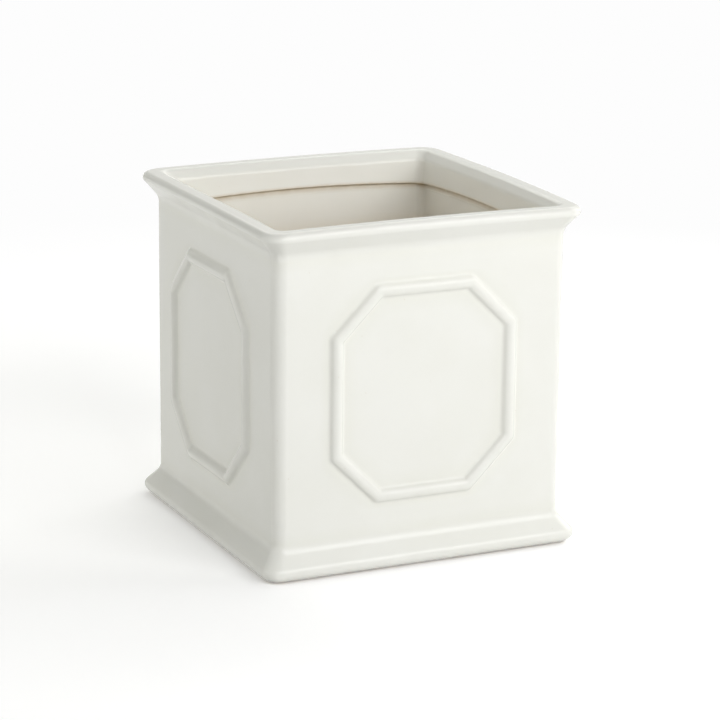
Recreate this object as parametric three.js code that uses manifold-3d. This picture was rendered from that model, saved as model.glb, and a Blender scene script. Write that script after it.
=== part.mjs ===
// Square slip-cast planter: a flared lip over a hollow moulding, four flat walls that each carry a
// raised eight-sided moulding, and a flared base on small rubber feet. The floor has a drain hole
// with a stopper that lifts out. Millimetres, +Z up. The origin is under the middle of the planter
// at the level that it stands on, and the front wall faces -Y.

import * as THREE from 'three';
import { mergeVertices } from 'three/addons/utils/BufferGeometryUtils.js';
import Module from 'manifold-3d';

const wasm = await Module();
wasm.setup();

// Outside of the shell. A half-width runs from the planter's axis to the middle of a side.
const HEIGHT = 203.2;
const LIP_HALF_WIDTH = 100;
const WALL_HALF_WIDTH = 91;
const BASE_HALF_WIDTH = 99.2;

const LIP_RADIUS = 3.5;
const LIP_SLOPE = 54;
const LIP_COVE_RADIUS = 15;

const BASE_RADIUS = 4.2;
const BASE_SLOPE = 50;
const BASE_COVE_RADIUS = 16;
const BASE_CLEARANCE = 1.1;
const BASE_RING_WIDTH = 7;

// Inside of the shell: a throat slopes from the lip's crest to a collar, which stands proud of the
// wall below it.
const WALL_THICKNESS = 4.6;
const CREST_HALF_WIDTH = 92;
const THROAT_RADIUS = 5;
const THROAT_SLOPE = 45;
const COLLAR_DEPTH = 1.9;
const COLLAR_BOTTOM = 184.4;
const COLLAR_EDGE = 0.6;
const UNDERSIDE_HEIGHT = 3;
const UNDERSIDE_DRAFT = 0.5;
const FLOOR_THICKNESS = 6;
const FLOOR_HEIGHT = UNDERSIDE_HEIGHT + FLOOR_THICKNESS;
const FLOOR_FILLET = 6;

// Plan corners, which the glaze and the mould leave softer towards the lip.
const INSIDE_CORNER_RADIUS = 5;
const WALL_CORNER_RADIUS = 8.5;
const LIP_CORNER_RADIUS = 12;

// The fired lip isn't quite square: its corners are drawn in and lower than the middle of a side.
const LIP_BOW = 1;
const LIP_CROWN = 1.2;
const WARP_START = 184;

// The eight-sided moulding on each wall, measured along the middle of its rounded section.
const PANEL_HALF_WIDTH = 54.5;
const PANEL_HALF_HEIGHT = 60.3;
const PANEL_CHAMFER = 26;
const PANEL_CENTRE_HEIGHT = 103.2;
const MOULDING_WIDTH = 12.4;
const MOULDING_HEIGHT = 2.8;
const MOULDING_CREST = 2.4;
const MOULDING_ROOT = 0.4;

// The drain hole, with a shallow round seat for the stopper's head.
const DRAIN_RADIUS = 8;
const DRAIN_SEAT_RADIUS = 15;
const DRAIN_SEAT_HEIGHT = FLOOR_HEIGHT - 1;

const STOPPER_GAP = 0.3;
const STOPPER_TAPER = 0.7;
const STOPPER_RECESS = 0.5;
const STOPPER_HEAD_RADIUS = 13;
const STOPPER_HEAD_HEIGHT = 2.6;
const STOPPER_GRIP_RADIUS = 4.5;
const STOPPER_GRIP_HEIGHT = 4;
const STOPPER_EDGE = 0.8;

const FOOT_RADIUS = 9;
const FOOT_EDGE = 0.6;
const FOOT_INSET = 76;
const REST_GAP = 0.3;

// Steps of the faceted surfaces.
const SIDE_STEPS = 6;
const CORNER_STEPS = 4;
const QUARTER_STEPS = SIDE_STEPS + CORNER_STEPS;
const ARC_STEP = 15;
const ROUND_STEPS = 32;
const MOULDING_STEPS = 4;

const glaze = new THREE.MeshStandardMaterial({ color: 0xf0efe8, roughness: 0.25, metalness: 0 });
const stopperRubber = new THREE.MeshStandardMaterial({ color: 0x3a3937, roughness: 0.7, metalness: 0 });
const footRubber = new THREE.MeshStandardMaterial({ color: 0xd9d6cc, roughness: 0.6, metalness: 0 });

const { degToRad, clamp } = THREE.MathUtils;
const point = (x, y) => new THREE.Vector2(x, y);

// Points of an arc from one angle to another, in degrees, with both ends.
function arc(centreX, centreY, radius, from, to) {
  const steps = Math.ceil(Math.abs(to - from) / ARC_STEP);
  const points = [];
  for (let i = 0; i <= steps; i++) {
    const angle = degToRad(from + ((to - from) * i) / steps);
    points.push(point(centreX + radius * Math.cos(angle), centreY + radius * Math.sin(angle)));
  }
  return points;
}

// A cove from the upright wall to the straight slope under or over a round nose. The slope makes
// the angle `slope` with the level. `side` is 1 for a nose above the cove and -1 for one below it.
function cove(noseX, noseY, noseRadius, slope, radius, side) {
  const turn = degToRad(90 - slope);
  const touchX = noseX + noseRadius * Math.cos(turn);
  const touchY = noseY - side * noseRadius * Math.sin(turn);
  const run = (touchX - WALL_HALF_WIDTH) * Math.tan(degToRad(slope));
  const tangent = radius * Math.tan(turn / 2);
  const centreY = touchY - side * (run + tangent);
  return arc(WALL_HALF_WIDTH + radius, centreY, radius, 180, 180 - side * (90 - slope));
}

// The shell's outside, from the ring at its bottom to the nose of its lip.
function outerProfile() {
  const baseX = BASE_HALF_WIDTH - BASE_RADIUS;
  const baseY = BASE_CLEARANCE + BASE_RADIUS;
  const lipX = LIP_HALF_WIDTH - LIP_RADIUS;
  const lipY = HEIGHT - LIP_RADIUS;
  const ringX = baseX - BASE_RING_WIDTH;
  return [
    point(0, UNDERSIDE_HEIGHT),
    point(ringX - UNDERSIDE_DRAFT, UNDERSIDE_HEIGHT),
    point(ringX, BASE_CLEARANCE),
    ...arc(baseX, baseY, BASE_RADIUS, -90, 90 - BASE_SLOPE),
    ...cove(baseX, baseY, BASE_RADIUS, BASE_SLOPE, BASE_COVE_RADIUS, -1).reverse(),
    ...cove(lipX, lipY, LIP_RADIUS, LIP_SLOPE, LIP_COVE_RADIUS, 1),
    ...arc(lipX, lipY, LIP_RADIUS, LIP_SLOPE - 90, 90),
  ];
}

// The shell's inside, from the crest of its lip to the middle of its floor.
function innerProfile() {
  const insideX = WALL_HALF_WIDTH - WALL_THICKNESS;
  const collarX = insideX - COLLAR_DEPTH;
  const collarTop = HEIGHT - (CREST_HALF_WIDTH - collarX) * Math.tan(degToRad(THROAT_SLOPE));
  const slopeAngle = 90 + THROAT_SLOPE;
  return [
    ...arc(CREST_HALF_WIDTH, HEIGHT - THROAT_RADIUS, THROAT_RADIUS, 90, slopeAngle),
    ...arc(collarX + THROAT_RADIUS, collarTop, THROAT_RADIUS, slopeAngle, 180),
    ...arc(collarX + COLLAR_EDGE, COLLAR_BOTTOM + COLLAR_EDGE, COLLAR_EDGE, 180, 270),
    point(insideX, COLLAR_BOTTOM),
    ...arc(insideX - FLOOR_FILLET, FLOOR_HEIGHT + FLOOR_FILLET, FLOOR_FILLET, 0, -90),
    point(0, FLOOR_HEIGHT),
  ];
}

// The radius of a plan corner: none on the axis, and more through the wall and up the flared lip.
function cornerRadius(halfWidth, height) {
  const insideX = WALL_HALF_WIDTH - WALL_THICKNESS;
  const inFloor = clamp(halfWidth / insideX, 0, 1);
  const inWall = clamp((halfWidth - insideX) / WALL_THICKNESS, 0, 1);
  const flare = clamp((halfWidth - WALL_HALF_WIDTH) / (LIP_HALF_WIDTH - WALL_HALF_WIDTH), 0, 1);
  const inLip = height > PANEL_CENTRE_HEIGHT ? flare : 0;
  return (
    INSIDE_CORNER_RADIUS * inFloor
    + (WALL_CORNER_RADIUS - INSIDE_CORNER_RADIUS) * inWall
    + (LIP_CORNER_RADIUS - WALL_CORNER_RADIUS) * inLip
  );
}

// One point of a square with round corners, counted in steps from the end of its +X side.
function squarePoint(step, halfWidth, height) {
  const radius = cornerRadius(halfWidth, height);
  const straight = halfWidth - radius;
  const along = step % QUARTER_STEPS;
  const onSide = along < SIDE_STEPS;
  const cornerAngle = ((along - SIDE_STEPS) / CORNER_STEPS) * (Math.PI / 2);
  const corner = onSide
    ? point(halfWidth, straight * ((2 * along) / SIDE_STEPS - 1))
    : point(straight + radius * Math.cos(cornerAngle), straight + radius * Math.sin(cornerAngle));
  const quarter = Math.floor(step / QUARTER_STEPS);
  return corner.rotateAround(point(0, 0), (quarter * Math.PI) / 2);
}

// Draws the lip's corners in and down, more the nearer a point is to the top.
function warpLip(vertex) {
  const amount = clamp((vertex.z - WARP_START) / (HEIGHT - WARP_START), 0, 1);
  const acrossX = vertex.x / LIP_HALF_WIDTH;
  const acrossY = vertex.y / LIP_HALF_WIDTH;
  const along = Math.min(Math.abs(acrossX), Math.abs(acrossY));
  vertex.x -= LIP_BOW * amount * acrossX * acrossY ** 2;
  vertex.y -= LIP_BOW * amount * acrossY * acrossX ** 2;
  vertex.z -= LIP_CROWN * amount * along ** 2;
}

// The shell without its panels: a profile turned round the axis, with each circle made a square.
function shellGeometry() {
  const profile = [...outerProfile(), ...innerProfile()];
  const turns = 4 * QUARTER_STEPS;
  const geometry = new THREE.LatheGeometry(profile, turns);
  const position = geometry.attributes.position;
  const vertex = new THREE.Vector3();
  for (let i = 0; i < position.count; i++) {
    const { x: halfWidth, y: height } = profile[i % profile.length];
    const step = Math.floor(i / profile.length) % turns;
    const plan = squarePoint(step, halfWidth, height);
    vertex.set(plan.x, plan.y, height);
    warpLip(vertex);
    position.setXYZ(i, vertex.x, vertex.y, vertex.z);
  }
  return geometry;
}

// The outline of an eight-sided panel, moved outwards by `offset`.
function panelOutline(offset) {
  const halfWidth = PANEL_HALF_WIDTH + offset;
  const halfHeight = PANEL_HALF_HEIGHT + offset;
  const chamfer = PANEL_CHAMFER + offset * (2 - Math.SQRT2);
  const corners = [];
  for (const [right, top] of [[1, 1], [-1, 1], [-1, -1], [1, -1]]) {
    const pair = [
      point(right * halfWidth, top * (halfHeight - chamfer)),
      point(right * (halfWidth - chamfer), top * halfHeight),
    ];
    corners.push(...(right * top > 0 ? pair : pair.reverse()));
  }
  return corners;
}

// The moulding round one panel, on the wall that faces -Y after `quarters` quarter turns.
function mouldingGeometry(quarters) {
  const ring = new THREE.Shape(panelOutline(MOULDING_CREST / 2));
  ring.holes.push(new THREE.Path(panelOutline(-MOULDING_CREST / 2)));
  const geometry = new THREE.ExtrudeGeometry(ring, {
    depth: MOULDING_ROOT,
    bevelThickness: MOULDING_HEIGHT,
    bevelSize: (MOULDING_WIDTH - MOULDING_CREST) / 2,
    bevelSegments: MOULDING_STEPS,
  });
  geometry.rotateX(Math.PI / 2);
  geometry.translate(0, MOULDING_ROOT - WALL_HALF_WIDTH, PANEL_CENTRE_HEIGHT);
  geometry.rotateZ((quarters * Math.PI) / 2);
  return geometry;
}

// An upright cylinder, to be cut out of the floor from `bottom` upwards.
function floorCut(radius, bottom) {
  const length = 2 * FLOOR_THICKNESS;
  const geometry = new THREE.CylinderGeometry(radius, radius, length, ROUND_STEPS);
  geometry.rotateX(Math.PI / 2);
  geometry.translate(0, 0, bottom + length / 2);
  return geometry;
}

// A closed solid from a geometry, with its shared vertices merged and its flat triangles left out.
function toSolid(geometry) {
  geometry.deleteAttribute('normal');
  geometry.deleteAttribute('uv');
  const merged = mergeVertices(geometry, 1e-4);
  const index = merged.index.array;
  const triVerts = [];
  for (let i = 0; i < index.length; i += 3) {
    const [a, b, c] = index.subarray(i, i + 3);
    if (a !== b && b !== c && c !== a) {
      triVerts.push(a, b, c);
    }
  }
  return new wasm.Manifold(new wasm.Mesh({
    numProp: 3,
    vertProperties: new Float32Array(merged.attributes.position.array),
    triVerts: new Uint32Array(triVerts),
  }));
}

function toGeometry(solid) {
  const mesh = solid.getMesh();
  const geometry = new THREE.BufferGeometry();
  geometry.setAttribute('position', new THREE.BufferAttribute(mesh.vertProperties, 3));
  geometry.setIndex(new THREE.BufferAttribute(mesh.triVerts, 1));
  geometry.computeVertexNormals();
  return geometry;
}

function namedMesh(name, geometry, material) {
  const mesh = new THREE.Mesh(geometry, material);
  mesh.name = name;
  return mesh;
}

// The ceramic shell: one casting with its four panel mouldings, and a hole through its floor.
function planterBody() {
  let solid = toSolid(shellGeometry());
  for (let quarters = 0; quarters < 4; quarters++) {
    solid = solid.add(toSolid(mouldingGeometry(quarters)));
  }
  solid = solid.subtract(toSolid(floorCut(DRAIN_RADIUS, 0)));
  solid = solid.subtract(toSolid(floorCut(DRAIN_SEAT_RADIUS, DRAIN_SEAT_HEIGHT)));
  return namedMesh('planter_body', toGeometry(solid), glaze);
}

// A solid of revolution round +Z.
function turned(profile) {
  const geometry = new THREE.LatheGeometry(profile, ROUND_STEPS);
  geometry.rotateX(Math.PI / 2);
  return geometry;
}

// The stopper: a tapered stem in the drain hole, a head on the seat, and a grip to lift it by.
function drainPlug() {
  const bottom = UNDERSIDE_HEIGHT + STOPPER_RECESS;
  const seat = DRAIN_SEAT_HEIGHT + REST_GAP;
  const headTop = seat + STOPPER_HEAD_HEIGHT;
  const top = headTop + STOPPER_GRIP_HEIGHT;
  const stemTopRadius = DRAIN_RADIUS - STOPPER_GAP;
  const profile = [
    point(0, bottom),
    point(stemTopRadius - STOPPER_TAPER, bottom),
    point(stemTopRadius, seat),
    point(STOPPER_HEAD_RADIUS, seat),
    point(STOPPER_HEAD_RADIUS, headTop - STOPPER_EDGE),
    point(STOPPER_HEAD_RADIUS - STOPPER_EDGE, headTop),
    point(STOPPER_GRIP_RADIUS, headTop),
    point(STOPPER_GRIP_RADIUS, top - STOPPER_EDGE),
    point(STOPPER_GRIP_RADIUS - STOPPER_EDGE, top),
    point(0, top),
  ];
  return namedMesh('drain_plug', turned(profile), stopperRubber);
}

// One stick-on foot: a flat disc under a corner of the floor.
function footPad(name, right, back) {
  const top = UNDERSIDE_HEIGHT - REST_GAP;
  const profile = [
    point(0, 0),
    point(FOOT_RADIUS - FOOT_EDGE, 0),
    point(FOOT_RADIUS, FOOT_EDGE),
    point(FOOT_RADIUS, top),
    point(0, top),
  ];
  const mesh = namedMesh(name, turned(profile), footRubber);
  mesh.position.set(right * FOOT_INSET, back * FOOT_INSET, 0);
  return mesh;
}

const planter = new THREE.Group();
planter.add(
  planterBody(),
  drainPlug(),
  footPad('foot_pad_front_left', -1, -1),
  footPad('foot_pad_front_right', 1, -1),
  footPad('foot_pad_back_left', -1, 1),
  footPad('foot_pad_back_right', 1, 1),
);

export default planter;
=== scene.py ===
"""A square glazed planter with a flared lip and base and a raised eight-sided moulding on each wall.

The shell is one profile spun round the planter's axis, with its circles then drawn out to rounded
squares. Each wall's panel is a second profile, spun round the middle of the wall and drawn out to a
rounded octagon, and let into a hole in the wall. Metres, +Z up, and the front wall faces -Y.
"""

from math import atan2, ceil, cos, exp, hypot, pi, radians, sin, tan, tau

import bmesh
import bpy
from bpy.props import FloatProperty, FloatVectorProperty, PointerProperty
from bpy.types import Operator, Panel, PropertyGroup
from mathutils import Matrix, Vector


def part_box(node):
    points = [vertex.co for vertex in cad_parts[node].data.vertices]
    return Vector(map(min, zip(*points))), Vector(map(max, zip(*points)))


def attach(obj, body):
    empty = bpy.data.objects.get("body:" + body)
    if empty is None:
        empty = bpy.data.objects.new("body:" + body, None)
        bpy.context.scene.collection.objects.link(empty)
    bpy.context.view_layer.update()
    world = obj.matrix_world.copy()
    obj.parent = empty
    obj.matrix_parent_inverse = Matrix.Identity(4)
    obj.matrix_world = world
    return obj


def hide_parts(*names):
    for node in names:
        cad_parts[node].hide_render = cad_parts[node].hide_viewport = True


bl_info = {
    "name": "Square Planter",
    "version": (1, 0, 0),
    "blender": (4, 5, 0),
    "location": "View3D > Sidebar > Planter",
    "description": "Models a square glazed planter with its stopper and feet, and sets it in a studio",
    "category": "Add Mesh",
}

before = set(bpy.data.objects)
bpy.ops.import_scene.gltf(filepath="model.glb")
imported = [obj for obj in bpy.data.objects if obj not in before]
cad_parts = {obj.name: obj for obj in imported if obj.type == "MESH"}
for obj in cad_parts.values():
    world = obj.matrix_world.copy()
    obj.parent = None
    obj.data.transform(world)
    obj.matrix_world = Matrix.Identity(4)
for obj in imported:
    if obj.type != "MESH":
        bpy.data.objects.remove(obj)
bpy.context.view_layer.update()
SHELL_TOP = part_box("planter_body")[1]

MM = 0.001
WELD = 0.01 * MM

# Steps of the meshes. A wall's panel takes all of the wall's steps but the outermost on each side,
# so that the points round the panel meet the points of the hole that it is let into. The bare clay
# and the painted shade below the ledge fade out in FADE_STEPS.
ARC_STEP = radians(4)
LONG_STEP = 7 * MM
CORNER_STEPS = 16
PANEL_SIDE_STEPS = 6
PANEL_CORNER_STEPS = 5
PANEL_EDGE_STEPS = 2 * (PANEL_SIDE_STEPS + PANEL_CORNER_STEPS)
WALL_STEPS = PANEL_EDGE_STEPS + 2
FIELD_STEPS = 6
MARGIN_STEPS = 4
ROUND_STEPS = 64
FADE_STEPS = 4

# A panel's flat margin before it is drawn out to its rectangle. Any width gives the same panel.
MARGIN = 20 * MM

# How far the pooled glaze and painted shade reach from the root of a moulding.
POOL_SHADE_REACH = 2 * MM

# The walls, in quarter turns from the front one, and how far each panel's mould sat off its place,
# to the right as the wall is looked at and up.
FRONT, RIGHT, BACK, LEFT = range(4)
PANEL_SHIFTS = {
    FRONT: (0.4 * MM, -0.1 * MM),
    RIGHT: (0.8 * MM, -0.5 * MM),
    BACK: (-0.6 * MM, 0.4 * MM),
    LEFT: (-4.5 * MM, -0.9 * MM),
}

# Each lamp's turn round the planter from the front and its height angle, in degrees, its width and
# height, in metres, and its colour.
LAMPS = {
    "front": (12, 25, 1.4, 0.8, "#ffffff"),
    "right": (90, 30, 1.4, 1, "#ffffff"),
    "left": (-90, 35, 1.2, 1, "#fffffb"),
    "back_left": (-120, 15, 1.4, 0.8, "#fffffb"),
    "back_right": (150, 45, 1.4, 1, "#fffffb"),
    "back": (154, 20, 3.2, 1.4, "#fffffb"),
}


def length(name, description, default):
    return FloatProperty(
        name=name, description=description, default=default, subtype="DISTANCE", unit="LENGTH",
    )


def angle(name, description, default):
    return FloatProperty(
        name=name, description=description, default=default, subtype="ANGLE", unit="ROTATION",
    )


def watts(name, description, default):
    return FloatProperty(name=name, description=description, default=default, min=0, unit="POWER")


def share(name, description, default):
    return FloatProperty(
        name=name, description=description, default=default, min=0, max=1, subtype="FACTOR",
    )


def linear(hex_colour):
    """An sRGB hex colour as linear red, green, blue and alpha."""
    channels = [int(hex_colour[i:i + 2], 16) / 255 for i in (1, 3, 5)]
    return [c / 12.92 if c <= 0.04045 else ((c + 0.055) / 1.055) ** 2.4 for c in channels] + [1]


def colour(name, description, default):
    return FloatVectorProperty(
        name=name, description=description, default=linear(default)[:3], min=0, max=1, subtype="COLOR",
    )


class ShellSizes(PropertyGroup):
    """The true form of the cast shell. A half-width runs from the axis to the middle of a side."""
    height: length("Height", "Top of the lip above the ground", SHELL_TOP.z)
    lip_half_width: length("Lip half-width", "Outside of the lip", SHELL_TOP.x)
    wall_half_width: length("Wall half-width", "Outside of the walls", 91 * MM)
    base_half_width: length("Base half-width", "Outside of the base", 99.2 * MM)
    lip_radius: length("Lip radius", "Roundness of the lip's nose", 3.5 * MM)
    lip_slope: angle("Lip slope", "Slope under the lip", radians(50))
    lip_cove: length("Lip cove", "Radius of the cove under the lip", 10 * MM)
    base_radius: length("Base radius", "Roundness of the base's nose", 5 * MM)
    base_slope: angle("Base slope", "Slope above the base", radians(50))
    base_cove: length("Base cove", "Radius of the cove above the base", 10 * MM)
    base_clearance: length("Base clearance", "Gap under the base", 1.1 * MM)
    base_ring: length("Base ring", "Width of the ring under the base", 7 * MM)
    wall_thickness: length("Wall thickness", "Thickness of the cast walls", 4.6 * MM)
    crest_half_width: length("Crest half-width", "Highest line of the lip", 92 * MM)
    throat_radius: length("Throat radius", "Roundness of the throat's ends", 5 * MM)
    throat_slope: angle("Throat slope", "Slope from the crest to the collar", radians(45))
    collar_depth: length("Collar depth", "How far the ledge stands proud of the inner wall", 2.9 * MM)
    collar_bottom: length("Collar bottom", "Height of the ledge under the collar", 184.4 * MM)
    collar_lean: angle("Collar lean", "How far the collar leans back from upright", radians(6))
    collar_edge: length("Collar edge", "Roundness of the ledge", 0.6 * MM)
    clay_line: length("Clay line", "How far from the ledge the clay shows through the glaze", 1.5 * MM)
    # The brown under the ledge is painted shade under its overhang, fading out over the next distance; at
    # the ledge it is partly bare clay.
    ledge_shade_fade: length("Clay fade", "How far below the ledge the clay stops showing", 5 * MM)
    ledge_clay_and_shade: share("Clay strength", "How much the clay shows at the ledge", 0.6)
    foot_bare: length("Foot bare", "Height to which the base's foot is bare clay", 0.1 * MM)
    foot_fade: length("Foot fade", "Height at which the glaze covers the base's foot", 0.7 * MM)
    # The next two distances set where the painted shade of the deep inside starts and where it is full: the
    # inside turns warmer and darker with depth below the ledge.
    inner_shade_start: length("Thin start", "Distance under the ledge at which the glaze starts to thin", 15 * MM)
    inner_shade_end: length("Thin end", "Distance under the ledge at which the glaze is thin", 60 * MM)
    underside: length("Underside", "Height of the floor's underside", 3 * MM)
    floor_thickness: length("Floor thickness", "Thickness of the floor", 6 * MM)
    floor_fillet: length("Floor fillet", "Roundness between floor and wall", 6 * MM)
    drain_radius: length("Drain radius", "Radius of the drain hole", 8 * MM)
    drain_seat_radius: length("Drain seat radius", "Radius of the stopper's seat", 15 * MM)
    drain_seat_depth: length("Drain seat depth", "Depth of the stopper's seat", 1 * MM)
    drain_edge: length("Drain edge", "Roundness of the hole and seat", 0.4 * MM)
    inside_corner: length("Inside corner", "Plan radius inside", 5 * MM)
    wall_corner: length("Wall corner", "Plan radius of the walls", 7 * MM)
    base_corner: length("Base corner", "Plan radius of the base", 8.5 * MM)
    lip_corner: length("Lip corner", "Plan radius of the lip", 11 * MM)
    round_reach: length("Round reach", "Half-width within which the floor is still round", 16 * MM)
    square_reach: length("Square reach", "Half-width beyond which the floor is square", 60 * MM)


class PanelSizes(PropertyGroup):
    """The moulding on a wall, measured along the middle of its section."""
    half_width: length("Half-width", "Middle of the panel to its upright mouldings", 54.5 * MM)
    half_height: length("Half-height", "Middle of the panel to its level mouldings", 60 * MM)
    chamfer: length("Chamfer", "Width that each diagonal moulding cuts off", 26 * MM)
    centre_height: length("Centre height", "Height of the panel's middle", 103.2 * MM)
    ridge_height: length("Ridge height", "How far the moulding stands out", 2.9 * MM)
    ridge_slope: angle("Ridge slope", "Steepest slope of the moulding's sides", radians(50))
    crest_radius: length("Crest radius", "Roundness of the moulding's crest", 4.2 * MM)
    root_radius: length("Root radius", "Roundness of the moulding's roots", 2.7 * MM)
    outer_corner: length("Outer corner", "Plan radius at the moulding's outer root", 5.5 * MM)
    inner_corner: length("Inner corner", "Plan radius at the moulding's inner root", 1.5 * MM)


class KilnWarp(PropertyGroup):
    """How the fired shell departs from its true form."""
    lip_bow: length("Lip bow", "How far the lip's corners are drawn in", 1 * MM)
    front_crown: length("Front crown", "Fall of the front rim towards its corners", 1.3 * MM)
    back_crown: length("Back crown", "Fall of the back rim towards its corners", 0.7 * MM)
    warp_start: length("Warp start", "Height at which the lip's warp starts", 184 * MM)
    ledge_rise: length("Ledge rise", "Rise of the ledge at the middle of a side", 1.1 * MM)
    ledge_fall: length("Ledge fall", "Fall of the ledge at its corners", 2.4 * MM)
    ledge_reach: length("Ledge reach", "Height over which the ledge's bow fades out", 9 * MM)
    wall_bulge: length("Wall bulge", "Bulge of the left wall", 0.6 * MM)
    wave_height: length("Wave height", "Unevenness of the throat where it meets the collar", 0.9 * MM)
    wave_length: length("Wave length", "Distance between the throat's waves", 62 * MM)
    wave_level: length("Wave level", "Height at which the throat is most uneven", 193.5 * MM)
    wave_reach: length("Wave reach", "Height over which the throat's waves fade out", 4.5 * MM)


class FittingSizes(PropertyGroup):
    """The moulded rubber stopper and feet, inside the boxes that the frame gives them."""
    edge: length("Edge", "Roundness of the rubber's edges", 0.7 * MM)
    stem_radius: length("Stem radius", "Stopper's stem under its head", 7.7 * MM)
    stem_taper: length("Stem taper", "How much narrower the stem is at its foot", 0.7 * MM)
    head_height: length("Head height", "Thickness of the stopper's head at its rim", 2.1 * MM)
    dome: length("Dome", "Rise of the head from its rim to the grip", 0.5 * MM)
    grip_radius: length("Grip radius", "Bulb of the grip", 4.5 * MM)
    grip_height: length("Grip height", "Grip above the head", 4 * MM)
    grip_waist: length("Grip waist", "How much narrower the grip is under its bulb", 1.1 * MM)
    hollow_radius: length("Hollow radius", "Hollow in the stem's foot", 4 * MM)
    hollow_depth: length("Hollow depth", "Depth of the hollow", 2.5 * MM)


class GlazeLook(PropertyGroup):
    """Colours and textures of the fired shell and the rubber."""
    glaze: colour("Glaze", "Glaze on the outside, lip and collar", "#f2f2ec")
    # A darker tint for the roots of the mouldings and the creases where the wall meets its coves: partly
    # pooled glaze, partly painted shade.
    pooled: colour("Pooled glaze", "Glaze where it gathers in the roots of mouldings", "#e9e9de")
    # Painted shade: the warmer, darker colour that the inside takes with depth below the ledge.
    inner: colour("Inner glaze", "Thin glaze deep inside the walls", "#dcc49c")
    # Also painted as the shade under the ledge.
    clay_and_shade: colour("Clay", "Bare clay where the glaze is wiped off or runs thin", "#b39a6c")
    pool_shade_strength: share("Pooling", "How strong the tint of gathered glaze is", 0.25)
    cloud_size: length("Cloud size", "Faint clouds in the glaze", 40 * MM)
    speck_spacing: length("Speck spacing", "Distance between iron specks", 12 * MM)
    speck_radius: length("Speck radius", "Middle of an iron speck to where it has faded out", 0.6 * MM)
    speck_strength: share("Speck strength", "How much clay shows in an iron speck", 0.12)
    fray_size: length("Fray size", "Breaks in the line where the glaze stops", 5 * MM)
    wave_size: length("Wave size", "Slow waves in the glaze", 22 * MM)
    wave_depth: length("Wave depth", "Depth of the slow waves", 0.06 * MM)
    peel_size: length("Peel size", "Orange peel in the glaze", 1.6 * MM)
    peel_depth: length("Peel depth", "Depth of the orange peel", 0.004 * MM)
    stopper: colour("Stopper", "Rubber of the stopper", "#3a3937")
    stopper_bloom: colour("Stopper bloom", "Pale bloom on the stopper", "#6a6863")
    foot: colour("Foot", "Rubber of the feet", "#d9d6cc")
    foot_bloom: colour("Foot bloom", "Dust on the feet", "#b7b2a6")
    bloom_size: length("Bloom size", "Patches of bloom and dust on the rubber", 6 * MM)
    grain_size: length("Grain size", "Mould grain on the rubber", 0.4 * MM)
    grain_depth: length("Grain depth", "Depth of the mould grain", 0.03 * MM)


class StudioSettings(PropertyGroup):
    """The camera's place, the lamps' strengths and the paper that the planter stands on."""
    azimuth: angle("Azimuth", "Camera's turn round the planter", radians(-25.35))
    elevation: angle("Elevation", "Camera's height angle", radians(15.15))
    roll: angle("Roll", "Camera's roll", radians(0.58))
    distance: length("Distance", "Camera to the point that it looks at", 1.715)
    aim_right: length("Aim right", "Point looked at, right of the planter's axis", 3.3 * MM)
    aim_height: length("Aim height", "Point looked at, above the floor", 97.15 * MM)
    focal_length: FloatProperty(
        name="Focal length", description="In millimetres on a 36 mm frame", default=143.9,
    )
    front: watts("Front lamp", "Wide key light to the camera's right", 18.8)
    right: watts("Right lamp", "Second key light, from the side", 11)
    left: watts("Left lamp", "Weak fill on the left wall", 4.5)
    back_left: watts("Back left lamp", "Low light on the left wall, from behind it", 6.5)
    back_right: watts("Back right lamp", "Light from behind on the rim", 7)
    back: watts("Back lamp", "Wide low light from behind", 11)
    lamp_distance: length("Lamp distance", "From the planter's middle to each lamp", 1.6)
    floor_size: length("Floor size", "Middle of the floor to its edge", 6)
    paper: colour("Paper", "Floor and backdrop as they are seen", "#fdfdfd")
    paper_bounce: colour("Paper bounce", "Floor as it lights the planter from below", "#e5e5e5")
    floor_glow: share("Floor glow", "Light added to the floor near the planter", 0.23)
    glow_start: length("Glow start", "Where the floor starts to turn plain white", 0.3)
    glow_end: length("Glow end", "Where the floor is plain white", 0.9)


class PlanterSettings(PropertyGroup):
    shell: PointerProperty(type=ShellSizes)
    panel: PointerProperty(type=PanelSizes)
    warp: PointerProperty(type=KilnWarp)
    fittings: PointerProperty(type=FittingSizes)
    look: PointerProperty(type=GlazeLook)
    studio: PointerProperty(type=StudioSettings)


# Profiles, in the XZ plane.

def arc(centre_x, centre_z, radius, start, end):
    """The points of an arc, with both ends, from one angle to another."""
    steps = ceil(abs(end - start) / ARC_STEP)
    turns = [start + (end - start) * i / steps for i in range(steps + 1)]
    return [Vector((centre_x + radius * cos(t), 0, centre_z + radius * sin(t))) for t in turns]


def straight(start, end, steps):
    """The points between two points, without the two."""
    return [start.lerp(end, i / steps) for i in range(1, steps)]


def cove(nose_x, nose_z, nose_radius, slope, wall_x, radius, side):
    """The arc from an upright wall to the straight slope of a round nose. The nose is over the arc
    for a side of 1, and under it for a side of -1."""
    turn = pi / 2 - slope
    touch_x = nose_x + nose_radius * cos(turn)
    touch_z = nose_z - side * nose_radius * sin(turn)
    run = (touch_x - wall_x) * tan(slope)
    centre_z = touch_z - side * (run + radius * tan(turn / 2))
    return arc(wall_x + radius, centre_z, radius, pi, pi - side * turn)


def collar_bend(s, edge_x, edge_z):
    """Centre of the arc between the throat's slope and the collar, which leans out from its lower edge."""
    lean, rise = s.collar_lean, tan(s.throat_slope)
    crest_z = s.height - s.throat_radius
    across = (crest_z - edge_z - s.crest_half_width * rise) * sin(lean) + s.throat_radius - s.collar_edge
    bend_x = (edge_x * cos(lean) + across) / (cos(lean) - rise * sin(lean))
    return bend_x, crest_z - (s.crest_half_width - bend_x) * rise


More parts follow.
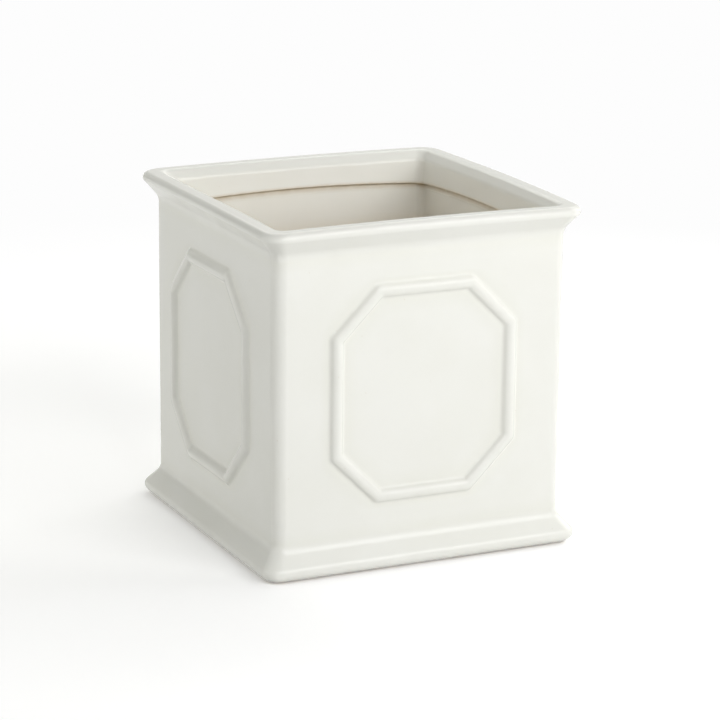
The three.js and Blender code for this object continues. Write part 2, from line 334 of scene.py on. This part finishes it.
def shell_profile(s):
    """The shell's section: from the drain hole out under the floor, up the outside and down the inside."""
    base_x, base_z = s.base_half_width - s.base_radius, s.base_clearance + s.base_radius
    lip_x, lip_z = s.lip_half_width - s.lip_radius, s.height - s.lip_radius
    inside_x = s.wall_half_width - s.wall_thickness
    collar_x = inside_x - s.collar_depth + s.collar_edge
    collar_z = s.collar_bottom + s.collar_edge
    bend_x, bend_z = collar_bend(s, collar_x, collar_z)
    clay_x = collar_x - s.collar_edge / cos(s.collar_lean) + s.clay_line * tan(s.collar_lean)
    floor_z = s.underside + s.floor_thickness
    seat_z = floor_z - s.drain_seat_depth
    edge = s.drain_edge
    crest_z = s.height - s.throat_radius
    # Rows below the ledge over which the painted shade under it fades out.
    ledge_shade_heights = [s.collar_bottom - s.ledge_shade_fade * i / FADE_STEPS for i in range(FADE_STEPS + 1)]
    wall_foot = cove(base_x, base_z, s.base_radius, s.base_slope, s.wall_half_width, s.base_cove, -1)[::-1]
    wall_head = cove(lip_x, lip_z, s.lip_radius, s.lip_slope, s.wall_half_width, s.lip_cove, 1)
    stretches = [
        arc(s.drain_radius + edge, s.underside + edge, edge, pi, 1.5 * pi),
        arc(base_x - s.base_ring - edge, s.underside + edge, edge, 1.5 * pi, 1.6 * pi),
        arc(base_x - s.base_ring + edge, s.base_clearance + edge, edge, pi, 1.5 * pi),
        arc(base_x, base_z, s.base_radius, -pi / 2, pi / 2 - s.base_slope),
        wall_foot,
        straight(wall_foot[-1], wall_head[0], WALL_STEPS),
        wall_head,
        arc(lip_x, lip_z, s.lip_radius, s.lip_slope - pi / 2, pi / 2),
        arc(s.crest_half_width, crest_z, s.throat_radius, pi / 2, pi / 2 + s.throat_slope),
        arc(bend_x, bend_z, s.throat_radius, pi / 2 + s.throat_slope, pi - s.collar_lean),
        [Vector((clay_x, 0, collar_z + s.clay_line))],
        arc(collar_x, collar_z, s.collar_edge, pi - s.collar_lean, 1.5 * pi),
        [Vector((inside_x, 0, height)) for height in ledge_shade_heights],
        arc(inside_x - s.floor_fillet, floor_z + s.floor_fillet, s.floor_fillet, 0, -pi / 2),
        arc(s.drain_seat_radius + edge, floor_z - edge, edge, pi / 2, pi),
        [Vector((s.drain_seat_radius, 0, seat_z))],
        arc(s.drain_radius + edge, seat_z - edge, edge, pi / 2, pi),
    ]
    profile = []
    for stretch, following in zip(stretches, stretches[1:] + stretches[:1]):
        profile += stretch
        gap = (following[0] - stretch[-1]).length
        profile += straight(stretch[-1], following[0], ceil(gap / LONG_STEP))
    return profile


def ridge_profile(p):
    """Half of the moulding's section, from its crest to its root: the points' distances from its
    middle line and their heights."""
    bend = p.crest_radius + p.root_radius
    side = (p.ridge_height - bend * (1 - cos(p.ridge_slope))) / sin(p.ridge_slope)
    root_x = bend * sin(p.ridge_slope) + side * cos(p.ridge_slope)
    crest = arc(0, p.ridge_height - p.crest_radius, p.crest_radius, pi / 2, pi / 2 - p.ridge_slope)
    root = arc(root_x, p.root_radius, p.root_radius, -pi / 2 - p.ridge_slope, -pi / 2)
    return crest + root


def spun(profile, closed, steps):
    """A profile turned all the way round the Z axis."""
    bm = bmesh.new()
    verts = [bm.verts.new(point) for point in profile]
    pairs = list(zip(verts, verts[1:]))
    if closed:
        pairs.append((verts[-1], verts[0]))
    edges = [bm.edges.new(pair) for pair in pairs]
    bmesh.ops.spin(bm, geom=verts + edges, axis=(0, 0, 1), angle=tau, steps=steps, use_merge=True)
    return bm


def turn_step(vert, steps):
    """Which step of a spin a point was made at."""
    return round(atan2(vert.co.y, vert.co.x) / tau * steps) % steps


# Plans.

def direction(turn):
    return Vector((cos(turn), sin(turn)))


def plan_point(step, reaches, radius, side_steps, corner_steps):
    """A point of a polygon with round corners, counted in steps from the middle of its first side.
    `reaches` are the distances from its centre to its sides, which face even turns."""
    turn = tau / len(reaches)

    def corner_centre(side):
        near, far = (reaches[i % len(reaches)] - radius for i in (side, side + 1))
        across = (far - near * cos(turn)) / sin(turn)
        return near * direction(side * turn) + across * direction(side * turn + pi / 2)

    side, along = divmod(step + side_steps // 2, side_steps + corner_steps)
    if along > side_steps:
        bend = (along - side_steps) / corner_steps
        return corner_centre(side) + radius * direction((side + bend) * turn)
    start, end = corner_centre(side - 1), corner_centre(side)
    return start.lerp(end, along / side_steps) + radius * direction(side * turn)


def smooth(value, start, end):
    """0 at the start and 1 at the end, with a soft rise between them."""
    t = min(max((value - start) / (end - start), 0), 1)
    return t * t * (3 - 2 * t)


def mix(start, end, amount):
    return start + (end - start) * min(max(amount, 0), 1)


def corner_radius(half_width, height, s):
    """The radius of a plan corner: larger through the wall and out on the flared lip and base."""
    inside_x = s.wall_half_width - s.wall_thickness
    radius = mix(s.inside_corner, s.wall_corner, (half_width - inside_x) / s.wall_thickness)
    flare = half_width - s.wall_half_width
    if height > s.height / 2:
        return mix(radius, s.lip_corner, flare / (s.lip_half_width - s.wall_half_width))
    return mix(radius, s.base_corner, flare / (s.base_half_width - s.wall_half_width))


def square_up(bm, s):
    """Draws the circles of a spun shell out to rounded squares, except round the drain hole."""
    steps = 4 * (WALL_STEPS + CORNER_STEPS)
    for vert in bm.verts:
        half_width, height = hypot(vert.co.x, vert.co.y), vert.co.z
        radius = corner_radius(half_width, height, s)
        plan = plan_point(turn_step(vert, steps), [half_width] * 4, radius, WALL_STEPS, CORNER_STEPS)
        squareness = smooth(half_width, s.round_reach, s.square_reach)
        vert.co = vert.co.lerp(plan.to_3d() + Vector((0, 0, height)), squareness)


def wall_opening(s, profile):
    """Half-width, lowest and highest point of the rectangle that a panel takes up on a wall."""
    on_wall = [point.z for point in profile if abs(point.x - s.wall_half_width) < WELD]
    low, high = min(on_wall), max(on_wall)
    row = (high - low) / WALL_STEPS
    half_width = (s.wall_half_width - s.wall_corner) * (1 - 2 / WALL_STEPS)
    return half_width, low + row, high - row


def cut_openings(bm, s, opening):
    """Takes out the faces of the four walls where the panels go."""
    half_width, low, high = opening
    taken = []
    for face in bm.faces:
        centre = face.calc_center_median()
        across, out = sorted((abs(centre.x), abs(centre.y)))
        if abs(out - s.wall_half_width) < WELD and across < half_width and low < centre.z < high:
            taken.append(face)
    bmesh.ops.delete(bm, geom=taken, context="FACES")


# Panels.

def panel_mesh(p, opening, shift_across, shift_up):
    """A panel in the XY plane with its height along Z, from the middle of its octagon out to the
    rectangle that it fills in the wall."""
    section = ridge_profile(p)
    root = section[-1].x
    inner, outer = p.half_width - root, p.half_width + root
    edge = outer + MARGIN
    ridge = [Vector((p.half_width + point.x, 0, point.z)) for point in section]
    mirrored = [Vector((p.half_width - point.x, 0, point.z)) for point in section[:0:-1]]
    field = [Vector((inner * i / FIELD_STEPS, 0, 0)) for i in range(FIELD_STEPS)]
    margin = [Vector((mix(outer, edge, i / MARGIN_STEPS), 0, 0)) for i in range(1, MARGIN_STEPS + 1)]
    steps = 4 * PANEL_EDGE_STEPS
    bm = spun(field + mirrored + ridge + margin, False, steps)
    pooled = bm.verts.layers.float.new("pooled")

    half_width, low, high = opening
    half_height = (high - low) / 2
    diagonal = (p.half_width + p.half_height - p.chamfer) / 2 ** 0.5
    centre = Vector((shift_across, p.centre_height + shift_up - (low + high) / 2))
    for vert in bm.verts:
        reach, step = hypot(vert.co.x, vert.co.y), turn_step(vert, steps)
        offset = min(max(reach, inner), outer) - p.half_width
        reaches = [p.half_width + offset, diagonal + offset, p.half_height + offset, diagonal + offset] * 2
        radius = mix(p.inner_corner, p.outer_corner, (offset + root) / (2 * root))
        octagon = plan_point(step, reaches, radius, PANEL_SIDE_STEPS, PANEL_CORNER_STEPS)
        octagon *= min(reach / inner, 1)
        rectangle = plan_point(step, [half_width, half_height] * 2, 0, PANEL_EDGE_STEPS, 0)
        plan = (octagon + centre).lerp(rectangle, max((reach - outer) / (edge - outer), 0))
        vert.co = plan.to_3d() + Vector((0, 0, vert.co.z))
        # Painted shade, with pooled glaze, along the roots of the moulding.
        vert[pooled] = pool_and_shade_falloff(abs(reach - p.half_width) - root)
    return bm


def panel_on_wall(bm, wall, s, opening):
    """Stands a panel up on one of the walls."""
    _, low, high = opening
    upright = Matrix.Rotation(pi / 2, 4, "X")
    place = Matrix.Translation((0, -s.wall_half_width, (low + high) / 2))
    bmesh.ops.transform(bm, matrix=Matrix.Rotation(wall * pi / 2, 4, "Z") @ place @ upright, verts=bm.verts)


def add_mesh(bm, part):
    """Adds one bmesh to another."""
    mesh = bpy.data.meshes.new("part")
    part.to_mesh(mesh)
    part.free()
    bm.from_mesh(mesh)
    bpy.data.meshes.remove(mesh)


# Fittings.

def turned(profile):
    """A solid of revolution from a profile that starts and ends on the axis."""
    bm = spun(profile, False, ROUND_STEPS)
    bmesh.ops.remove_doubles(bm, verts=bm.verts, dist=WELD)
    bmesh.ops.recalc_face_normals(bm, faces=bm.faces)
    return bm


def stopper_profile(f, low, high, seat):
    """The stopper's section, from the roof of its hollow round its stem, head and grip to its top."""
    edge, grip = f.edge, f.grip_radius
    head_radius, top = high.x, high.z
    rim_top = seat + f.head_height
    foot_radius = f.stem_radius - f.stem_taper
    return [
        Vector((0, 0, low.z + f.hollow_depth)),
        Vector((f.hollow_radius, 0, low.z + f.hollow_depth)),
        *arc(f.hollow_radius + edge / 2, low.z + edge / 2, edge / 2, pi, 1.5 * pi),
        *arc(foot_radius - edge, low.z + edge, edge, -pi / 2, 0),
        Vector((f.stem_radius, 0, seat)),
        *arc(head_radius - edge, seat + edge, edge, -pi / 2, 0),
        *arc(head_radius - edge, rim_top - edge, edge, 0, pi / 2),
        *arc(grip - f.grip_waist + edge, rim_top + f.dome + edge, edge, 1.5 * pi, pi),
        *arc(grip - f.grip_waist, top - f.grip_waist, f.grip_waist, 0, pi / 2),
        Vector((0, 0, top)),
    ]


def foot_profile(f, radius, height):
    """A foot's section: flat where it stands and where it is stuck on."""
    return [
        Vector((0, 0, 0)),
        *arc(radius - f.edge, f.edge, f.edge, -pi / 2, 0),
        Vector((radius, 0, height)),
        Vector((0, 0, height)),
    ]


# Glazing.

def pool_and_shade_falloff(distance):
    """How much pooled glaze and painted shade lie at a distance from the root of a moulding."""
    return exp(-(distance / POOL_SHADE_REACH) ** 2)


def glaze(bm, s, profile):
    """Notes on each point of the true form its painted shade inside, its bare clay and the painted shade
    under the ledge, and the pooled glaze and painted shade in its creases.
    """
    thin, bare = bm.verts.layers.float.new("thin"), bm.verts.layers.float.new("bare")
    pooled = bm.verts.layers.float.new("pooled")
    inside_x = s.wall_half_width - s.wall_thickness
    on_wall = [point.z for point in profile if abs(point.x - s.wall_half_width) < WELD]
    for vert in bm.verts:
        half_width, height = max(abs(vert.co.x), abs(vert.co.y)), vert.co.z
        below_ledge = s.collar_bottom - height
        if half_width > inside_x + MM:
            # Painted shade, with pooled glaze, in the creases where the outer wall meets the coves of the
            # lip and the base.
            vert[pooled] = pool_and_shade_falloff(height - min(on_wall)) + pool_and_shade_falloff(height - max(on_wall))
        elif height > s.underside + s.floor_thickness / 2:
            # Painted shade down the inside: warmer and darker with depth below the ledge.
            vert[thin] = smooth(below_ledge, s.inner_shade_start, s.inner_shade_end)
            # At the ledge the clay shows on its edge, and under it the same brown is painted shade, fading
            # downwards.
            fade = s.ledge_shade_fade if below_ledge > 0 else s.clay_line
            vert[bare] = s.ledge_clay_and_shade * (1 - smooth(abs(below_ledge), 0, fade))
        foot = 1 - smooth(height - s.base_clearance, s.foot_bare, s.foot_fade)
        if half_width < s.base_half_width - s.base_radius:
            foot = max(foot, 1 - smooth(height, s.underside, s.underside + MM))
        vert[bare] = max(vert[bare], foot)


# Firing.

def fire(co, s, w):
    """Where the kiln leaves a point of the true form."""
    half_width = max(abs(co.x), abs(co.y))
    across_x, across_y = co.x / s.lip_half_width, co.y / s.lip_half_width
    along = min(abs(across_x), abs(across_y))
    lip = min(max((co.z - w.warp_start) / (s.height - w.warp_start), 0), 1)
    moved = co.copy()
    moved.x -= w.lip_bow * lip * across_x * across_y ** 2
    moved.y -= w.lip_bow * lip * across_y * across_x ** 2
    crown = mix(w.front_crown, w.back_crown, (across_y + 1) / 2)
    moved.z -= crown * lip * along ** 2

    left = max(-across_x, 0)
    free_wall = smooth(co.z, 0, s.height / 4) * (1 - smooth(co.z, s.height * 3 / 4, w.warp_start))
    moved.x -= w.wall_bulge * free_wall * left * (1 - across_y ** 2)

    inside_x = s.wall_half_width - s.wall_thickness
    inside = 1 - smooth(half_width, inside_x + MM, s.crest_half_width)
    near_ledge = inside * exp(-((co.z - s.collar_bottom) / w.ledge_reach) ** 2)
    corner = inside_x / s.lip_half_width
    moved.z += near_ledge * (w.ledge_rise - (w.ledge_rise + w.ledge_fall) * (along / corner) ** 2)

    near_throat = inside * exp(-((co.z - w.wave_level) / w.wave_reach) ** 2)
    turn = tau / w.wave_length
    # Three waves of different lengths run across one another, so that no pattern shows.
    wave = sin(turn * co.x) + sin(1.3 * turn * co.y + 2) + 0.5 * sin(2.1 * turn * (co.x - co.y) + 1)
    moved.z += w.wave_height / 2 * wave * near_throat
    return moved


# Materials.

def add_node(material, kind, inputs=None, **settings):
    """Adds a node. `inputs` names its sockets, or counts them where a name is used twice, and gives
    each a value, an output, or a node whose first output is linked to it."""
    tree = material.node_tree
    node = tree.nodes.new(kind)
    for name, value in settings.items():
        setattr(node, name, value)
    in_use = [socket for socket in node.inputs if socket.enabled]
    for key, value in (inputs or {}).items():
        socket = in_use[key] if isinstance(key, int) else next(s for s in in_use if s.name == key)
        if isinstance(value, bpy.types.Node):
            value = next(output for output in value.outputs if output.enabled)
        if isinstance(value, bpy.types.NodeSocket):
            tree.links.new(value, socket)
        else:
            socket.default_value = value
    return node


def new_material(name):
    """An empty material and the coordinates of the object that wears it."""
    material = bpy.data.materials.new(name)
    material.use_nodes = True
    material.node_tree.nodes.clear()
    return material, add_node(material, "ShaderNodeTexCoord").outputs["Object"]


def finish_material(material, surface):
    add_node(material, "ShaderNodeOutputMaterial", {"Surface": surface})
    return material


def glaze_tone(material, place, look):
    """The glaze's colour: faintly clouded over the whole shell, with a few iron specks, darker in the roots
    of the mouldings, where pooled glaze and painted shade lie, and warmer and darker down the inside, as
    painted shade."""
    drift = add_node(material, "ShaderNodeTexNoise", {
        "Vector": place, "Scale": 1 / look.cloud_size, "Detail": 3,
    })
    clouds = add_node(material, "ShaderNodeMapRange", {
        "Value": drift, "From Min": 0.35, "From Max": 0.65, "To Max": 0.2,
    })
    # The roots and creases take a darker tint: pooled glaze and painted shade.
    pool_and_shade_here = add_node(material, "ShaderNodeAttribute", attribute_name="pooled")
    depth = add_node(material, "ShaderNodeMath", {
        0: pool_and_shade_here.outputs["Fac"], 1: look.pool_shade_strength, 2: clouds,
    }, operation="MULTIPLY_ADD")
    tone = add_node(material, "ShaderNodeMix", {
        "Factor": depth, "A": (*look.glaze, 1), "B": (*look.pooled, 1),
    }, data_type="RGBA")
    # Painted shade down the inside, warmer and darker with depth.
    thin = add_node(material, "ShaderNodeAttribute", attribute_name="thin")
    tone = add_node(material, "ShaderNodeMix", {
        "Factor": thin.outputs["Fac"], "A": tone, "B": (*look.inner, 1),
    }, data_type="RGBA")
    cells = add_node(material, "ShaderNodeTexVoronoi", {"Vector": place, "Scale": 1 / look.speck_spacing})
    # The cells give distances in steps of their spacing. A speck is full in its inner two fifths.
    speck_edge = look.speck_radius / look.speck_spacing
    specks = add_node(material, "ShaderNodeMapRange", {
        "Value": cells.outputs["Distance"], "From Min": 0.4 * speck_edge, "From Max": speck_edge,
        "To Min": look.speck_strength, "To Max": 0,
    })
    return add_node(material, "ShaderNodeMix", {
        "Factor": specks, "A": tone, "B": (*look.clay_and_shade, 1),
    }, data_type="RGBA")


def glaze_material(look):
    """Glazed stoneware, slip-cast, sprayed and fired: a satin gloss that lies in slow waves, with a
    fine orange peel, and wiped or run off the ledge's edge and the foot, where the matt brown clay shows.
    Under the ledge the same brown is painted shade."""
    material, place = new_material("satin_stoneware_glaze")
    fray = add_node(material, "ShaderNodeTexNoise", {
        "Vector": place, "Scale": 1 / look.fray_size, "Detail": 3,
    })
    worn = add_node(material, "ShaderNodeMapRange", {
        "Value": fray, "From Min": 0.3, "From Max": 0.6, "To Min": 0.75, "To Max": 1,
    })
    # Bare clay on the foot and the ledge's edge, and painted shade under the ledge.
    bare_and_shaded_here = add_node(material, "ShaderNodeAttribute", attribute_name="bare")
    bare = add_node(material, "ShaderNodeMath", {0: bare_and_shaded_here.outputs["Fac"], 1: worn}, operation="MULTIPLY")
    tone = add_node(material, "ShaderNodeMix", {
        "Factor": bare, "A": glaze_tone(material, place, look), "B": (*look.clay_and_shade, 1),
    }, data_type="RGBA")
    sheen = add_node(material, "ShaderNodeTexNoise", {
        "Vector": place, "Scale": 1 / look.wave_size, "Detail": 2,
    })
    gloss = add_node(material, "ShaderNodeMapRange", {
        "Value": sheen, "From Min": 0.3, "From Max": 0.7, "To Min": 0.2, "To Max": 0.26,
    })
    roughness = add_node(material, "ShaderNodeMix", {"Factor": bare, "A": gloss, "B": 0.75})
    lie = add_node(material, "ShaderNodeTexNoise", {
        "Vector": place, "Scale": 1 / look.wave_size, "Detail": 1,
    })
    waves = add_node(material, "ShaderNodeBump", {
        "Height": lie, "Distance": look.wave_depth, "Strength": 1,
    })
    # Orange peel is a few tenths of a millimetre across, drawn coarser so that it shows.
    grain = add_node(material, "ShaderNodeTexNoise", {
        "Vector": place, "Scale": 1 / look.peel_size, "Detail": 1,
    })
    peel = add_node(material, "ShaderNodeBump", {
        "Height": grain, "Distance": look.peel_depth, "Strength": 1, "Normal": waves,
    })
    surface = add_node(material, "ShaderNodeBsdfPrincipled", {
        "Base Color": tone, "Roughness": roughness, "IOR": 1.5, "Specular IOR Level": 0.3, "Normal": peel,
    })
    return finish_material(material, surface)


def rubber_material(name, rubber_colour, bloom_colour, look):
    """Moulded rubber: matt, with the fine grain of its mould and a pale bloom in patches."""
    material, place = new_material(name)
    patches = add_node(material, "ShaderNodeTexNoise", {
        "Vector": place, "Scale": 1 / look.bloom_size, "Detail": 4,
    })
    bloom = add_node(material, "ShaderNodeMapRange", {
        "Value": patches, "From Min": 0.4, "From Max": 0.7, "To Max": 0.3,
    })
    tone = add_node(material, "ShaderNodeMix", {
        "Factor": bloom, "A": (*rubber_colour, 1), "B": (*bloom_colour, 1),
    }, data_type="RGBA")
    dullness = add_node(material, "ShaderNodeMapRange", {
        "Value": patches, "From Min": 0.3, "From Max": 0.7, "To Min": 0.5, "To Max": 0.75,
    })
    # Mould grain is about a tenth of a millimetre across, drawn coarser so that it shows.
    grain = add_node(material, "ShaderNodeTexNoise", {
        "Vector": place, "Scale": 1 / look.grain_size, "Detail": 2,
    })
    bump = add_node(material, "ShaderNodeBump", {
        "Height": grain, "Distance": look.grain_depth, "Strength": 1,
    })
    surface = add_node(material, "ShaderNodeBsdfPrincipled", {
        "Base Color": tone, "Roughness": dullness, "IOR": 1.52, "Normal": bump,
    })
    return finish_material(material, surface)


def paper_material(studio):
    """Matt white paper that is lit up where it is seen, so that it is white and still holds the shadow.
    Near the planter a little light is added to what falls on it, and further out it is plain white."""
    material, place = new_material("white_paper")
    white = (*studio.paper, 1)
    lit = add_node(material, "ShaderNodeBsdfDiffuse", {"Color": white})
    glow = add_node(material, "ShaderNodeEmission", {"Color": white, "Strength": studio.floor_glow})
    near = add_node(material, "ShaderNodeAddShader", {0: lit, 1: glow})
    far = add_node(material, "ShaderNodeEmission", {"Color": white, "Strength": 1})
    away = add_node(material, "ShaderNodeVectorMath", {0: place}, operation="LENGTH")
    fade = add_node(material, "ShaderNodeMapRange", {
        "Value": away.outputs["Value"], "From Min": studio.glow_start, "From Max": studio.glow_end,
    }, interpolation_type="SMOOTHSTEP")
    seen = add_node(material, "ShaderNodeMixShader", {0: fade, 1: near, 2: far})
    rays = add_node(material, "ShaderNodeLightPath").outputs
    mirrored = add_node(material, "ShaderNodeMath", {
        0: rays["Is Glossy Ray"], 1: rays["Is Transmission Ray"],
    }, operation="MAXIMUM")
    looked_at = add_node(material, "ShaderNodeMath", {
        0: rays["Is Camera Ray"], 1: mirrored,
    }, operation="MAXIMUM")
    bounce = add_node(material, "ShaderNodeBsdfDiffuse", {"Color": (*studio.paper_bounce, 1)})
    surface = add_node(material, "ShaderNodeMixShader", {0: looked_at, 1: bounce, 2: seen})
    return finish_material(material, surface)


# Operators.

def new_piece(name, bm, materials, body):
    """Makes an object of a finished bmesh and lets it ride on a body."""
    mesh = bpy.data.meshes.new(name)
    bm.to_mesh(mesh)
    bm.free()
    for material in materials:
        mesh.materials.append(material)
    mesh.shade_smooth()
    piece = bpy.data.objects.new(name, mesh)
    bpy.context.collection.objects.link(piece)
    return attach(piece, body)


class PLANTER_OT_cast_shell(Operator):
    """Models the glazed shell with its four panels"""
    bl_idname = "planter.cast_shell"
    bl_label = "Cast Shell"

    def execute(self, context):
        settings = context.scene.planter
        s, p = settings.shell, settings.panel
        profile = shell_profile(s)
        bm = spun(profile, True, 4 * (WALL_STEPS + CORNER_STEPS))
        square_up(bm, s)
        glaze(bm, s, profile)
        opening = wall_opening(s, profile)
        cut_openings(bm, s, opening)
        for wall in (FRONT, RIGHT, BACK, LEFT):
            panel = panel_mesh(p, opening, *PANEL_SHIFTS[wall])
            panel_on_wall(panel, wall, s, opening)
            add_mesh(bm, panel)
        bmesh.ops.remove_doubles(bm, verts=bm.verts, dist=WELD)
        for vert in bm.verts:
            vert.co = fire(vert.co, s, settings.warp)
        bmesh.ops.recalc_face_normals(bm, faces=bm.faces)
        shell = new_piece("planter_shell", bm, [glaze_material(settings.look)], "planter")
        shell.modifiers.new("even_shading", "WEIGHTED_NORMAL")
        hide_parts("planter_body")
        return {"FINISHED"}


class PLANTER_OT_fit_stopper(Operator):
    """Models the stopper in the drain hole"""
    bl_idname = "planter.fit_stopper"
    bl_label = "Fit Stopper"

    def execute(self, context):
        settings = context.scene.planter
        s, f = settings.shell, settings.fittings
        low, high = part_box("drain_plug")
        seat = high.z - f.grip_height - f.head_height - f.dome
        bm = turned(stopper_profile(f, low, high, seat))
        look = settings.look
        material = rubber_material("nitrile_rubber", look.stopper, look.stopper_bloom, look)
        stopper = new_piece("drain_stopper", bm, [material], "plug")
        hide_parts("drain_plug")
        return {"FINISHED"}


class PLANTER_OT_fit_feet(Operator):
    """Models the four stick-on feet"""
    bl_idname = "planter.fit_feet"
    bl_label = "Fit Feet"

    def execute(self, context):
        settings = context.scene.planter
        look = settings.look
        material = rubber_material("silicone_rubber", look.foot, look.foot_bloom, look)
        for place in ("front_left", "front_right", "back_left", "back_right"):
            low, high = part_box(f"foot_pad_{place}")
            centre = (low + high) / 2
            bm = turned(foot_profile(settings.fittings, (high.x - low.x) / 2, high.z))
            bmesh.ops.translate(bm, vec=(centre.x, centre.y, 0), verts=bm.verts)
            foot = new_piece(f"rubber_foot_{place}", bm, [material], "planter")
            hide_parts(f"foot_pad_{place}")
        return {"FINISHED"}


class PLANTER_OT_set_stage(Operator):
    """Sets the floor, the lights and the camera"""
    bl_idname = "planter.set_stage"
    bl_label = "Set Stage"

    def execute(self, context):
        scene = context.scene
        studio = scene.planter.studio
        lens = bpy.data.cameras.new("camera")
        lens.sensor_fit = "HORIZONTAL"
        lens.sensor_width = 36
        lens.lens = studio.focal_length
        camera = bpy.data.objects.new("camera", lens)
        scene.collection.objects.link(camera)
        turn = (
            Matrix.Rotation(studio.azimuth, 4, "Z")
            @ Matrix.Rotation(pi / 2 - studio.elevation, 4, "X")
            @ Matrix.Rotation(studio.roll, 4, "Z")
        )
        aim = Matrix.Translation((studio.aim_right, 0, studio.aim_height))
        camera.matrix_world = aim @ turn @ Matrix.Translation((0, 0, studio.distance))
        scene.camera = camera
        scene.view_settings.view_transform = "Standard"

        floor_bm = bmesh.new()
        bmesh.ops.create_grid(floor_bm, x_segments=1, y_segments=1, size=studio.floor_size)
        floor_mesh = bpy.data.meshes.new("floor")
        floor_bm.to_mesh(floor_mesh)
        floor_bm.free()
        floor_mesh.materials.append(paper_material(studio))
        floor = bpy.data.objects.new("floor", floor_mesh)
        scene.collection.objects.link(floor)

        world = bpy.data.worlds.new("studio")
        world.use_nodes = True
        backdrop = world.node_tree.nodes["Background"]
        backdrop.inputs["Color"].default_value = (*studio.paper, 1)
        rays = add_node(world, "ShaderNodeLightPath")
        world.node_tree.links.new(rays.outputs["Is Camera Ray"], backdrop.inputs["Strength"])
        scene.world = world

        for name, (azimuth, elevation, width, height, tint) in LAMPS.items():
            light = bpy.data.lights.new(name, "AREA")
            light.shape = "RECTANGLE"
            light.size = width
            light.size_y = height
            light.color = linear(tint)[:3]
            light.energy = getattr(studio, name)
            lamp = bpy.data.objects.new(name, light)
            scene.collection.objects.link(lamp)
            lamp.visible_camera = False
            lamp.matrix_world = (
                Matrix.Translation((0, 0, studio.aim_height))
                @ Matrix.Rotation(radians(azimuth), 4, "Z")
                @ Matrix.Rotation(radians(90 - elevation), 4, "X")
                @ Matrix.Translation((0, 0, studio.lamp_distance))
            )
        return {"FINISHED"}


class PLANTER_PT_sidebar(Panel):
    """Lists the planter's pieces"""
    bl_label = "Square Planter"
    bl_space_type = "VIEW_3D"
    bl_region_type = "UI"
    bl_category = "Planter"

    def draw(self, context):
        for operator in OPERATORS:
            self.layout.operator(operator.bl_idname)


OPERATORS = (PLANTER_OT_cast_shell, PLANTER_OT_fit_stopper, PLANTER_OT_fit_feet, PLANTER_OT_set_stage)
CLASSES = (
    ShellSizes, PanelSizes, KilnWarp, FittingSizes, GlazeLook, StudioSettings, PlanterSettings,
    *OPERATORS, PLANTER_PT_sidebar,
)


def register():
    for cls in CLASSES:
        bpy.utils.register_class(cls)
    bpy.types.Scene.planter = PointerProperty(type=PlanterSettings)


def unregister():
    del bpy.types.Scene.planter
    for cls in reversed(CLASSES):
        bpy.utils.unregister_class(cls)


def main():
    register()
    bpy.ops.planter.cast_shell()
    bpy.ops.planter.fit_stopper()
    bpy.ops.planter.fit_feet()
    bpy.ops.planter.set_stage()


if __name__ == "__main__":
    main()
